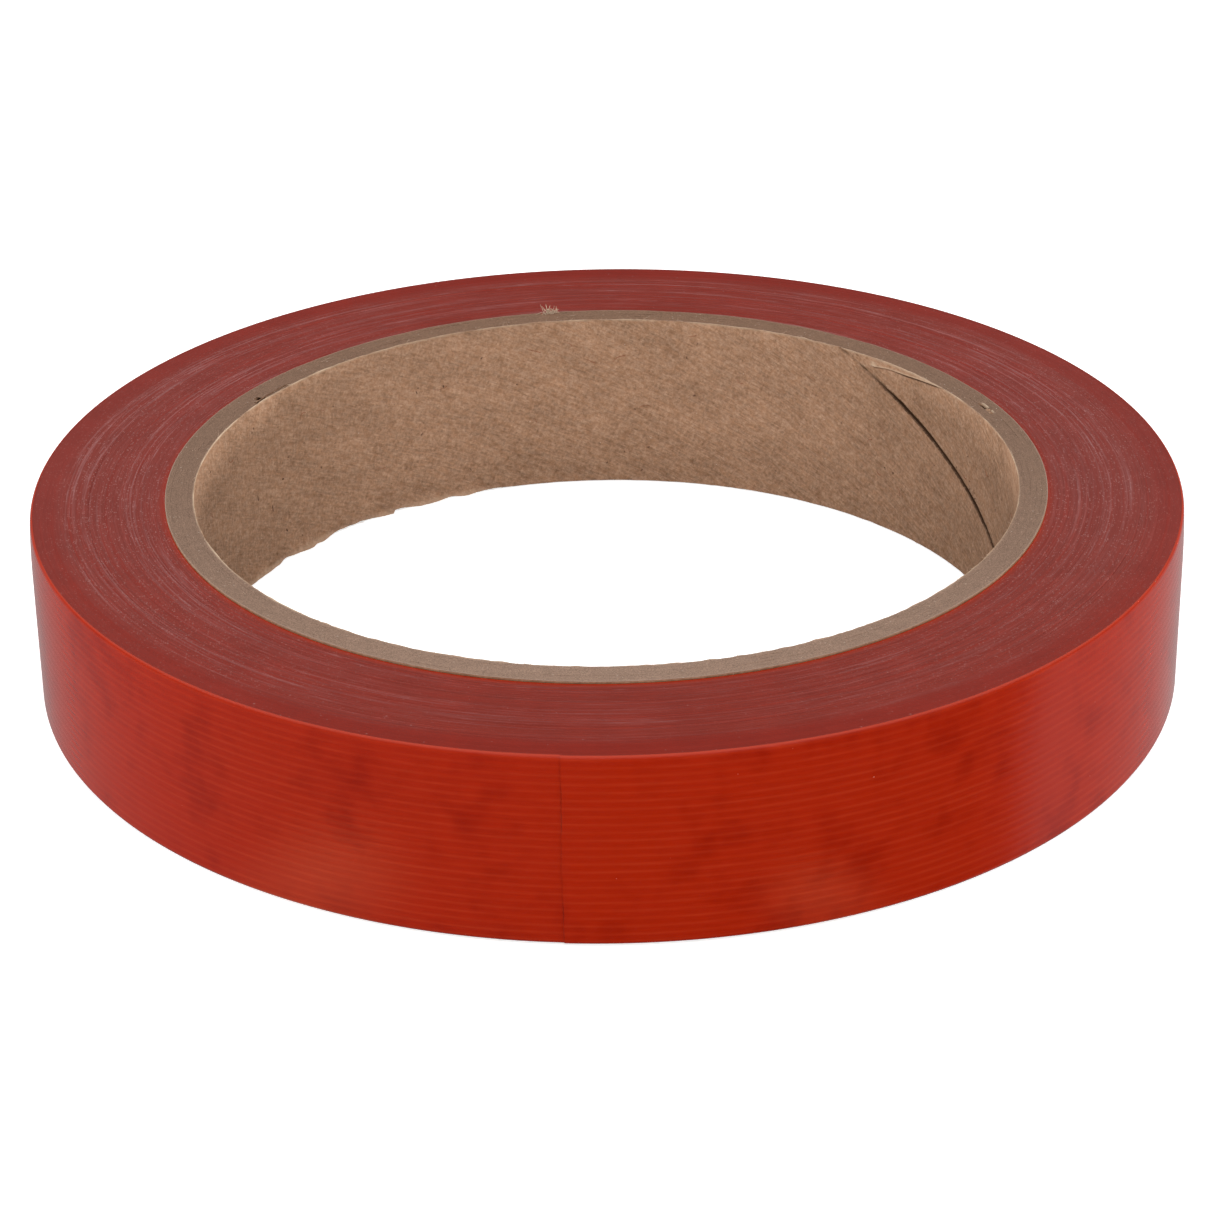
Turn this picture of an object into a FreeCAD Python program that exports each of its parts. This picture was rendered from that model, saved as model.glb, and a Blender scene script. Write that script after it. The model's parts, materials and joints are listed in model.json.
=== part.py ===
import FreeCAD, Part
import math
import os

# Roll of polypropylene strapping tape on a spiral-wound paperboard core.
#
# The roll lies flat with its axis on +Z. The origin is the centre of the bore on the
# lower end face, so z = 0 is the surface the roll rests on. Lengths are millimetres.
# Angles are degrees, counterclockwise from +X seen from above.
#
# Core: nested plies of board, each cut by one narrow helical seam at its own angle.
# Tape: film with adhesive on its inner side. The first turn, the wound turns, the last
# turn and the free end are separate solids. The last turn is a spiral of two half-circle
# arcs with shifted centres, so the free edge stands one tape thickness above the turn
# it lies on. The free end is a chain of short curved lengths that can hinge and peel away.

# ---- core ----
bore_radius = 38.1
core_width = 18.0
ply_thickness = 0.52
# Each ply, from the bore outwards, and the angle where its seam meets the upper end face
plies = [
    ("core_inner_ply", 51.8),
    ("core_ply_2", 150.6),
    ("core_ply_3", 20.7),
    ("core_ply_4", 255.0),
    ("core_outer_ply", 99.1),
]
core_radius = bore_radius + len(plies) * ply_thickness

seam_lead = 109.5         # axial advance of a seam per full turn
seam_gap = 0.35           # measured square to the seam
seam_end_margin = 1.0     # seam cutter beyond each end face
seam_side_margin = 0.25   # seam cutter beyond each face of the ply

# ---- tape ----
tape_width = 17.5
tape_bottom = (core_width - tape_width) / 2
film_thickness = 0.082
adhesive_thickness = 0.03
tape_thickness = film_thickness + adhesive_thickness
turn_count = 112
roll_radius = core_radius + turn_count * tape_thickness   # at the free edge

start_angle = 200.0       # where the tape starts on the core
start_gap = 0.15          # opening in the first turn, along the core surface

free_edge_angle = 265.7   # where the last turn ends
segment_count = 8         # hinged lengths in the free end
segment_angle = 5.0
hinge_gap = 0.04          # between neighbouring lengths, on the outer surface
lift_clearance = 0.005    # between the free end and the turn below it
peel_angle = free_edge_angle + segment_count * segment_angle

# Layers of the tape, as outer and inner depth below its outer surface
film_depths = (0.0, film_thickness)
adhesive_depths = (film_thickness, tape_thickness)
free_adhesive_depths = (film_thickness, tape_thickness - lift_clearance)

# The two half turns of the spiral, counted counterclockwise from the free edge.
# Each drops half a tape thickness.
origin = FreeCAD.Vector(0, 0, 0)
z_axis = FreeCAD.Vector(0, 0, 1)
free_edge_direction = FreeCAD.Vector(math.cos(math.radians(free_edge_angle)),
                                     math.sin(math.radians(free_edge_angle)), 0)
first_half_centre = free_edge_direction * (tape_thickness / 4)
second_half_centre = free_edge_direction * (-tape_thickness / 4)
first_half_radius = roll_radius - tape_thickness / 4
second_half_radius = roll_radius - 3 * tape_thickness / 4


# ---- core plies ----
def seam_cutter(inner_radius, top_angle):
    """The helical gap between the two long edges of one ply."""
    middle_radius = inner_radius + ply_thickness / 2
    height = core_width + 2 * seam_end_margin
    helix = Part.makeHelix(seam_lead, height, middle_radius)

    # The profile stands upright, so the gap is lengthened by the slope of the seam.
    slope = math.atan2(seam_lead, 2 * math.pi * middle_radius)
    half_height = seam_gap / math.cos(slope) / 2
    reach = ply_thickness / 2 + seam_side_margin
    near, far = middle_radius - reach, middle_radius + reach
    corners = [
        FreeCAD.Vector(near, 0, -half_height),
        FreeCAD.Vector(far, 0, -half_height),
        FreeCAD.Vector(far, 0, half_height),
        FreeCAD.Vector(near, 0, half_height),
    ]
    profile = Part.makePolygon(corners + [corners[0]])
    cutter = Part.Wire(helix.Edges).makePipeShell([profile], True, True)

    # Turn the seam so that it reaches top_angle at the upper end face.
    cutter.rotate(origin, z_axis, top_angle - (core_width + seam_end_margin) / seam_lead * 360.0)
    cutter.translate(FreeCAD.Vector(0, 0, -seam_end_margin))
    return cutter


def core_ply(inner_radius, seam_top_angle):
    outer = Part.makeCylinder(inner_radius + ply_thickness, core_width, origin, z_axis)
    inner = Part.makeCylinder(inner_radius, core_width, origin, z_axis)
    return outer.cut(inner).cut(seam_cutter(inner_radius, seam_top_angle))


# ---- tape ----
# A tape path is a list of arcs (centre, outer radius, start angle, end angle), end to end.
# A depth is measured inwards from the outer radius.
def arc_point(centre, radius, angle):
    radians = math.radians(angle)
    return FreeCAD.Vector(centre.x + radius * math.cos(radians),
                          centre.y + radius * math.sin(radians), tape_bottom)


def path_arcs(path, depth):
    return [Part.Arc(arc_point(centre, radius - depth, start),
                     arc_point(centre, radius - depth, (start + end) / 2),
                     arc_point(centre, radius - depth, end)).toShape()
            for centre, radius, start, end in path]


def radial_line(centre, radius, angle, depths):
    outer_depth, inner_depth = depths
    return Part.makeLine(arc_point(centre, radius - inner_depth, angle),
                         arc_point(centre, radius - outer_depth, angle))


def extrude_tape(edges):
    face = Part.Face(Part.Wire(Part.__sortEdges__(edges)))
    return face.extrude(FreeCAD.Vector(0, 0, tape_width))


def tape_layer(path, depths):
    """A square-ended layer that follows the path between two depths."""
    outer_depth, inner_depth = depths
    first_centre, first_radius, start, _ = path[0]
    last_centre, last_radius, _, end = path[-1]
    return extrude_tape(path_arcs(path, outer_depth) + path_arcs(path, inner_depth) + [
        radial_line(first_centre, first_radius, start, depths),
        radial_line(last_centre, last_radius, end, depths),
    ])


def first_turn_path():
    """A circle round the core, open at the tape's start edge."""
    radius = core_radius + tape_thickness
    middle = start_angle + 180.0
    end = start_angle + 360.0 - math.degrees(start_gap / core_radius)
    return [(origin, radius, start_angle, middle), (origin, radius, middle, end)]


def spiral_path(start):
    """The last turn from a start angle round to where it passes under the free edge."""
    middle = free_edge_angle + 180.0
    return [(first_half_centre, first_half_radius, start, middle),
            (second_half_centre, second_half_radius, middle, free_edge_angle + 360.0)]


def wound_body():
    """Every turn between the first and the last, as one solid."""
    path = spiral_path(free_edge_angle)
    first_centre, first_radius, start, _ = path[0]
    last_centre, last_radius, _, end = path[-1]
    step = Part.makeLine(arc_point(last_centre, last_radius - tape_thickness, end),
                         arc_point(first_centre, first_radius - tape_thickness, start))
    body = extrude_tape(path_arcs(path, tape_thickness) + [step])
    hole = Part.makeCylinder(core_radius + tape_thickness, tape_width,
                             FreeCAD.Vector(0, 0, tape_bottom), z_axis)
    return body.cut(hole)


def free_segment_path(i):
    """Length i of the free end, counted from the peel line to the free edge."""
    half_gap = math.degrees(hinge_gap / 2 / first_half_radius)
    end = peel_angle - i * segment_angle - half_gap
    start = peel_angle - (i + 1) * segment_angle
    if i < segment_count - 1:   # the free edge itself has no hinge gap
        start += half_gap
    return [(first_half_centre, first_half_radius, start, end)]


# ---- build and export ----
parts = {}
for i, (name, seam_top_angle) in enumerate(plies):
    parts[name] = core_ply(bore_radius + i * ply_thickness, seam_top_angle)

parts["first_turn_adhesive"] = tape_layer(first_turn_path(), adhesive_depths)
parts["first_turn_film"] = tape_layer(first_turn_path(), film_depths)
parts["wound_tape_body"] = wound_body()
parts["last_turn_film"] = tape_layer(spiral_path(peel_angle), film_depths)
parts["last_turn_adhesive"] = tape_layer(spiral_path(peel_angle), adhesive_depths)
for i in range(segment_count):
    path = free_segment_path(i)
    parts[f"free_end_film_{i + 1}"] = tape_layer(path, film_depths)
    parts[f"free_end_adhesive_{i + 1}"] = tape_layer(path, free_adhesive_depths)

os.makedirs("parts", exist_ok=True)
for name, shape in parts.items():
    # The largest solid leaves out any sliver from a cut.
    solid = max(shape.Solids, key=lambda candidate: candidate.Volume)
    solid.exportStep(f"parts/{name}.step")
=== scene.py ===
# A roll of glossy orange-red tape on a spirally wound board core, lying flat. The roll's axis
# is z and the core stands on z = 0. Angles run from +x towards +y, in degrees; the camera looks
# from -y, so +x is on the right. Lengths are millimetres unless a comment says metres.
import json
import math

import bpy
import numpy as np
from mathutils import Matrix, Vector


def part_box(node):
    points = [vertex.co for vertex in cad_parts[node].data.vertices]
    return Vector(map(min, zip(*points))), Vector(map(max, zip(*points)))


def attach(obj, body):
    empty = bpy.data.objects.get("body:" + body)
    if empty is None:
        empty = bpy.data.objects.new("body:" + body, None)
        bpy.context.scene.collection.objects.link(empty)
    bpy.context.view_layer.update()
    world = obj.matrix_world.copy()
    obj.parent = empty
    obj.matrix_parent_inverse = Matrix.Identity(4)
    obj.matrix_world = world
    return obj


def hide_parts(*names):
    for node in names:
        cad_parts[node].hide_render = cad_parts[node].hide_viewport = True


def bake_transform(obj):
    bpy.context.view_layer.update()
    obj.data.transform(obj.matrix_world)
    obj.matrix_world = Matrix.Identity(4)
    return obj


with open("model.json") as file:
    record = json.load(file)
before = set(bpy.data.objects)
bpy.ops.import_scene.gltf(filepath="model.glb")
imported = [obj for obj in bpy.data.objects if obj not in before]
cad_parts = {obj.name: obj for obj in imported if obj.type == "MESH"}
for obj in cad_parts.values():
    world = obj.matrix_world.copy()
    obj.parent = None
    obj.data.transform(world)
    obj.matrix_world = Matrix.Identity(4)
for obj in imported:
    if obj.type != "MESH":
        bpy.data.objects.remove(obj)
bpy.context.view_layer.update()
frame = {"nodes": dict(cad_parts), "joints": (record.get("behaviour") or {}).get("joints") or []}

scene = bpy.context.scene

# ---------------------------------------------------------------- driving sizes
# core
BORE_R, PLY_T = 38.1, 0.52
PLY_NODES = ["core_inner_ply", "core_ply_2", "core_ply_3", "core_ply_4", "core_outer_ply"]
CORE_R = BORE_R + len(PLY_NODES) * PLY_T
CORE_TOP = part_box("core_inner_ply")[1].z * 1000

# butt seams of the plies
SEAM_TOP = [51.8, 150.6, 20.7, 255.0, 99.1]      # angle of each ply's seam at the core's top
LEAD = 109.5                                     # height in which a seam would go once round
SEAM_TURN = 360.0 / LEAD                         # degrees per mm of height
SEAM_TILT = math.radians(24.4)                   # between a ply's strip and the horizontal

# tape
TAPE_BOTTOM, TAPE_TOP = (corner.z * 1000 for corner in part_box("wound_tape_body")[:2])
FILM_T, TAPE_T, TURNS = 0.082, 0.112, 112
ROLL_R = CORE_R + TURNS * TAPE_T
RIB_PITCH = 0.735
RIB_START = RIB_PITCH * 0.4                      # first rib crest in the colour, above the bottom
SHOULDER, SHOULDER_H = 0.20, 0.42                # rounding of the roll's rims: inset, height
CONE, CONE_H = 0.16, 5.0                         # slight narrowing towards the top

# free end
FREE_EDGE = 265.7
SEGMENTS = sum(joint["name"].startswith("peel_") for joint in frame["joints"])
SEGMENT_DEG = 5.0
PEEL_LINE = FREE_EDGE + SEGMENTS * SEGMENT_DEG


# ---------------------------------------------------------------- curves and seeded noise
def ease(x, start, end):
    t = np.clip((x - start) / (end - start), 0, 1)
    return t * t * (3 - 2 * t)


def band(x, start, full, fade, end):
    """Rises from start to full, falls from fade to end."""
    return ease(x, start, full) * (1 - ease(x, fade, end))


def bell(x, width):
    return np.exp(-(x / width) ** 2)


def grid_noise(rows, columns, row_length, column_length, seed):
    """Unit-variance smooth noise, repeating along columns. Lengths are in samples."""
    rng = np.random.RandomState(seed)
    white = rng.standard_normal((rows + int(6 * row_length) + 2, columns))
    row_freq = np.fft.fftfreq(white.shape[0])[:, None]
    column_freq = np.fft.fftfreq(columns)[None, :]
    blur = (np.exp(-2 * (math.pi * row_freq * row_length) ** 2)
            * np.exp(-2 * (math.pi * column_freq * column_length) ** 2))
    grid = np.real(np.fft.ifft2(np.fft.fft2(white) * blur))[:rows, :columns]
    return (grid - grid.mean()) / (grid.std() + 1e-12)


def line_noise(count, length, seed):
    return grid_noise(1, count, 0.0, length, seed)[0]


def closed(grid):
    """Repeats the first column at the end."""
    return np.concatenate([grid, grid[:, :1]], 1)


def wall_noise(deg, z, length, seed):
    """Smooth noise on the bore's wall, read at any angle and height."""
    pitch, height, start_z = 0.2, 20.0, -0.8
    rows, columns = int(height / pitch), int(2 * math.pi * BORE_R / pitch)
    grid = grid_noise(rows, columns, length / pitch, length / pitch, seed)
    u = np.mod(deg, 360.0) / 360.0 * columns
    v = np.clip((z - start_z) / pitch, 0, rows - 1.001)
    row, column = np.floor(v).astype(int), np.floor(u).astype(int)
    across, along = v - row, u - column
    column, after = column % columns, (column + 1) % columns
    here = grid[row, column] * (1 - across) + grid[row + 1, column] * across
    there = grid[row, after] * (1 - across) + grid[row + 1, after] * across
    return here * (1 - along) + there * along


# ---------------------------------------------------------------- shape of the roll
def edge_inset(z):
    """How far the roll's outer face draws in, near its two rims and towards the top."""
    t = np.clip(np.minimum(TAPE_TOP - z, z - TAPE_BOTTOM) / SHOULDER_H, 0, 1)
    upper = np.clip((TAPE_TOP - z) / CONE_H, 0, 1)
    return SHOULDER * (1 - np.sqrt(1 - (1 - t) ** 2)) + CONE * (1 - upper) ** 2


def turn_radius(deg, depth):
    """Radius of the last turn, `depth` below its outer face, at angles from FREE_EDGE on.

    The turn is two half circles, their centres shifted along the free edge's direction.
    """
    deg = np.asarray(deg, float)
    first = deg <= FREE_EDGE + 180.0 + 1e-9
    offset = np.where(first, TAPE_T / 4, -TAPE_T / 4)
    radius = np.where(first, ROLL_R - TAPE_T / 4, ROLL_R - 3 * TAPE_T / 4) - depth
    cosine = np.cos(np.radians(deg - FREE_EDGE))
    chord = radius * radius - offset * offset * (1 - cosine * cosine)
    return offset * cosine + np.sqrt(np.maximum(chord, 0))


# ---------------------------------------------------------------- mesh helpers
def polar_points(radius, deg, z):
    angle = np.radians(deg)
    xyz = np.broadcast_arrays(radius * np.cos(angle), radius * np.sin(angle), z)
    return np.stack(xyz, -1)


def new_object(name, points, faces, material, sharp_deg=None, **attributes):
    """Smooth-shaded object; its points are also stored as "rest", in mm."""
    points = np.asarray(points, float)
    mesh = bpy.data.meshes.new(name)
    mesh.from_pydata((points / 1000.0).tolist(), [], faces)
    mesh.validate()
    mesh.update()
    mesh.polygons.foreach_set("use_smooth", [True] * len(mesh.polygons))
    for key, values in {"rest": points, **attributes}.items():
        is_vector = values.size == points.size
        kind, field = ("FLOAT_VECTOR", "vector") if is_vector else ("FLOAT", "value")
        data = mesh.attributes.new(key, kind, "POINT").data
        data.foreach_set(field, np.asarray(values, np.float32).ravel())
    if sharp_deg is not None:
        mesh.set_sharp_from_angle(angle=math.radians(sharp_deg))
    mesh.materials.append(material)
    obj = bpy.data.objects.new(name, mesh)
    scene.collection.objects.link(obj)
    return obj


def loft(name, loops, material, caps=None, flip=False, **options):
    """Skin over loops (count, size, 3). caps are the faces that close one end's loop."""
    count, size, _ = loops.shape
    faces = []
    for a in range(0, (count - 1) * size, size):
        for i in range(size):
            j = (i + 1) % size
            faces.append((a + i, a + j, a + size + j, a + size + i))
    for base, order in ((0, -1), ((count - 1) * size, 1)):
        for cap in caps or [range(size)]:
            faces.append(tuple(base + i for i in cap)[::order])
    if flip:
        faces = [face[::-1] for face in faces]
    return new_object(name, loops.reshape(-1, 3), faces, material, **options)


def join_roll(obj, node=None):
    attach(obj, "roll")
    if node:
        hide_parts(node)


# ---------------------------------------------------------------- node helpers
class Value:
    """A node's output. Arithmetic on it adds Math nodes."""

    def __init__(self, graph, node, output=0):
        self.graph, self.node, self.output = graph, node, output

    def other(self, output):
        return Value(self.graph, self.node, output)

    def __add__(self, term):
        return self.graph.math("ADD", self, term)

    def __sub__(self, term):
        return self.graph.math("SUBTRACT", self, term)

    def __rsub__(self, term):
        return self.graph.math("SUBTRACT", term, self)

    def __mul__(self, factor):
        return self.graph.math("MULTIPLY", self, factor)

    def __truediv__(self, divisor):
        return self.graph.math("DIVIDE", self, divisor)

    def times_plus(self, factor, term):
        return self.graph.math("MULTIPLY_ADD", self, factor, term)

    def line(self, low, high, at_low=0.0, at_high=1.0, kind="LINEAR"):
        """Maps low..high to at_low..at_high, clamped; low may be above high."""
        sockets = enumerate((self, low, high, at_low, at_high))
        return self.graph.add("MapRange", sockets, interpolation_type=kind)

    def step(self, *limits):
        """As line, but eased at both ends."""
        return self.line(*limits, kind="SMOOTHSTEP")

    def spread(self, least, most):
        """Maps the usual range of a noise to least..most."""
        return self.line(0.3, 0.7, least, most)


class Graph:
    def __init__(self, tree):
        self.tree = tree
        tree.nodes.clear()

    def put(self, socket, value):
        if isinstance(value, Value):
            self.tree.links.new(value.node.outputs[value.output], socket)
        elif isinstance(value, tuple) and len(value) == 3 and len(socket.default_value) == 4:
            socket.default_value = (*value, 1.0)
        else:
            socket.default_value = value

    def add(self, kind, sockets=(), output=0, **settings):
        node = self.tree.nodes.new("ShaderNode" + kind)
        for key, value in settings.items():
            setattr(node, key, value)
        for key, value in dict(sockets).items():
            self.put(node.inputs[key], value)
        return Value(self, node, output)

    def math(self, operation, *values, clamp=False):
        return self.add("Math", enumerate(values), operation=operation, use_clamp=clamp)

    def largest(self, a, b):
        return self.math("MAXIMUM", a, b)

    def length(self, x, y):
        return self.math("SQRT", x * x + y * y)

    def vector(self, x, y, z):
        return self.add("CombineXYZ", enumerate((x, y, z)))

    def split(self, vector):
        first = self.add("SeparateXYZ", {0: vector})
        return [first.other(i) for i in range(3)]

    def scale(self, vector, factor):
        return self.add("VectorMath", {0: vector, "Scale": factor}, operation="SCALE")


class Surface(Graph):
    """A material under construction."""

    def __init__(self, name):
        self.material = bpy.data.materials.new(name)
        self.material.use_nodes = True
        super().__init__(self.material.node_tree)

    def finish(self, shader):
        self.add("OutputMaterial", {0: shader})
        return self.material

    def principled(self, sockets):
        return self.finish(self.add("BsdfPrincipled", sockets))

    def attribute(self, name, output="Vector"):
        return self.add("Attribute", output=output, attribute_name=name)

    def object_position(self):
        return self.add("TexCoord", output="Object")

    def cylinder(self, cad=False):
        """x, y, z and radius in mm; also keeps the cosine and sine of the angle.

        New meshes carry the "rest" attribute, CAD nodes have only object coordinates.
        """
        if cad:
            position = self.scale(self.object_position(), 1000.0)
        else:
            position = self.attribute("rest")
        x, y, z = self.split(position)
        radius = self.length(x, y)
        self.cosine, self.sine = x / radius, y / radius
        return x, y, z, radius

    def around(self, radius, third):
        """Texture vector that goes round a circle of this radius."""
        return self.vector(self.cosine * radius, self.sine * radius, third)

    def noise(self, vector, scale=1.0, detail=2.0, rough=0.6):
        sockets = {"Vector": vector, "Scale": scale, "Detail": detail, "Roughness": rough}
        return self.add("TexNoise", sockets)

    def specks(self, vector, density, size, keep, shift):
        """1 inside scattered round marks. keep is the share of cells that hold one."""
        offset = (shift, shift * 0.7, -shift)
        vector = self.add("VectorMath", {0: vector, 1: offset}, operation="ADD")
        distance = self.add("TexVoronoi", {"Vector": vector, "Scale": density})
        cell = distance.other("Color")
        chosen = self.split(cell)[0]
        own_size = self.split(cell)[1]
        radius = (own_size + 0.35) * (size * density)
        inside = self.math("SUBTRACT", 1.0, distance / radius, clamp=True).step(0.0, 0.45)
        return inside * self.math("LESS_THAN", chosen, keep)

    def mix(self, factor, a, b):
        return self.add("Mix", {"Factor": factor, 6: a, 7: b}, output=2, data_type="RGBA")

    def layers(self, colour, *coats):
        """Lays (mask, colour) coats over a colour, in order."""
        for mask, coat in coats:
            colour = self.mix(mask, colour, coat)
        return colour

    def bump(self, height, depth, strength=0.5):
        sockets = {"Strength": strength, "Distance": depth / 1000.0, "Height": height}
        return self.add("Bump", sockets)


# ---------------------------------------------------------------- materials
def film_material(name, cad=False):
    """Glossy film: ribs run along the tape with painted sheen on their crests, wetted-out adhesive
    shows as darker clouds.
    """
    mat = Surface(name)
    z = mat.cylinder(cad)[2]
    arc = mat.around(ROLL_R, z)

    clouds = mat.noise(arc, scale=0.10, detail=1.0, rough=0.5)
    blots = mat.noise(arc, scale=0.36, detail=1.5, rough=0.5)
    wet = (clouds * 0.50 + blots * 0.50).step(0.46, 0.72)

    # painted sheen on the rib crests, sharpened by a power and uneven in strength
    phase = (z - (TAPE_BOTTOM + RIB_START)) * (2 * math.pi / RIB_PITCH)
    rib_sheen = mat.math("POWER", mat.math("COSINE", phase).times_plus(0.5, 0.5), 2.5)
    uneven = mat.noise(mat.around(9.0, z * 1.9))
    rib_sheen_gain = uneven.spread(0.35, 1.35) * wet.line(0, 1, 0.38, 0.22)
    fine = mat.noise(mat.around(26.0, z * 9.0))

    colour = mat.layers(
        (0.296, 0.0122, 0.0016),
        (wet, (0.236, 0.0074, 0.0008)),
        (rib_sheen * rib_sheen_gain, (0.372, 0.0270, 0.0062)),
    )
    colour = mat.scale(colour, fine.spread(0.94, 1.06))

    dust = mat.largest(
        mat.specks(arc, density=0.33, size=0.10, keep=0.45, shift=3.1),
        mat.specks(arc, density=0.9, size=0.045, keep=0.22, shift=11.0),
    )
    # light carried out at the slit edges of the clear-dyed film
    edge = mat.largest(
        z.step(TAPE_TOP - 0.20, TAPE_TOP - 0.04),
        z.step(TAPE_BOTTOM + 0.12, TAPE_BOTTOM + 0.02),
    )
    colour = mat.layers(
        colour,
        (dust * 0.40, (0.46, 0.13, 0.08)),
        (edge * 0.85, (0.37, 0.026, 0.0060)),
    )
    return mat.principled({
        "Base Color": colour,
        "Roughness": dust.times_plus(0.3, uneven.spread(0.10, 0.14)),
        "IOR": 1.50,
        "Normal": mat.bump(fine * 0.6 + blots * 1.5, depth=0.010),
    })


def edge_material(name):
    """Stacked slit edges: dull maroon, with fine paler rings except near the rim; painted sheen greys
    the left and right sides and pales the rings there and towards the back.
    """
    mat = Surface(name)
    x, y, z, radius = mat.cylinder()
    flat = mat.vector(x, y, z)

    def ring_noise(along, across, detail=2.0, rough=0.6):
        """Noise drawn out into rings: along in mm, across in cycles per mm of radius."""
        vector = mat.around(46.0 / along, radius * across)
        return mat.noise(vector, detail=detail, rough=rough)

    inner = radius.step(51.4, 49.4)
    rings = ring_noise(along=70.0, across=1.5).step(0.44, 0.62)
    fine = ring_noise(along=14.0, across=5.5, detail=3.0, rough=0.7).step(0.46, 0.68)
    hair = ring_noise(along=3.0, across=8.0, rough=0.65)
    dash = hair.step(0.56, 0.70)
    red_ring = ring_noise(along=55.0, across=2.7).step(0.53, 0.66)
    # painted sheen, strongest at the left and right
    painted_sheen_sides = mat.cosine * mat.cosine              # 1 at the left and right, 0 front and back
    pale = rings.times_plus(0.75, 0.25) * fine + rings.times_plus(0.55, 0.25) * dash
    # painted sheen: the pale rings stronger towards the back and at the sides
    painted_sheen_rear = y.step(-10.0, 25.0, 0.0, 0.55)
    pale = pale * inner * (painted_sheen_sides.times_plus(0.42, 0.60) + painted_sheen_rear)

    colour = mat.layers(
        (0.208, 0.0112, 0.0036),
        (inner * 0.7, (0.200, 0.0215, 0.0122)),
        # painted sheen: greyer at the left and right
        (painted_sheen_sides * 0.22, (0.215, 0.078, 0.070)),
        (red_ring * 0.45, (0.215, 0.0150, 0.0070)),
        (mat.math("MULTIPLY", pale, 0.56, clamp=True), (0.300, 0.122, 0.116)),
    )
    shade = mat.noise(flat, scale=0.25, detail=3.0).spread(0.93, 1.07)
    shade = shade * ring_noise(along=20.0, across=3.0).spread(0.95, 1.05)
    colour = mat.scale(colour, shade)

    # the first turns beside the core are cleaner and redder
    first_turns = radius.step(CORE_R + 0.75, CORE_R + 0.2)

    dust = mat.largest(
        mat.specks(flat, density=0.36, size=0.12, keep=0.32, shift=5.0),
        mat.specks(flat, density=1.5, size=0.085, keep=0.34, shift=17.0) * 0.8,
    )
    stretched = mat.vector(x * 1.3, y, 3.0)
    powder = mat.largest(
        mat.specks(flat, density=2.8, size=0.085, keep=0.40, shift=41.0),
        mat.specks(stretched, density=4.2, size=0.10, keep=0.36, shift=47.0),
    )
    # painted sheen: more pale powder at the left and right
    powder = powder * painted_sheen_sides.times_plus(1.0, 0.10) * inner.times_plus(0.6, 0.4)
    beige = mat.specks(flat, density=0.11, size=0.17, keep=0.34, shift=23.0)
    colour = mat.layers(
        colour,
        (first_turns * 0.7, (0.33, 0.030, 0.014)),
        (mat.largest(dust, powder) * 0.42, (0.42, 0.21, 0.19)),
        (beige * 0.75, (0.52, 0.33, 0.22)),
    )
    return mat.principled({
        "Base Color": colour,
        "Roughness": pale.line(0, 1, 0.40, 0.55),
        "IOR": 1.46,
        "Specular IOR Level": 0.22,
        "Normal": mat.bump(hair, depth=0.03),
    })


# where the inner ply's seam lies, measured across its strip
STRIP_WIDTH = 2 * math.pi * BORE_R * math.sin(SEAM_TILT)
SEAM_DRIFT = math.cos(SEAM_TILT) - math.radians(SEAM_TURN) * BORE_R * math.sin(SEAM_TILT)
SEAM_ACROSS = (-(math.radians(SEAM_TOP[0]) - CORE_TOP * math.radians(SEAM_TURN))
               * BORE_R * math.sin(SEAM_TILT))


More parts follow.
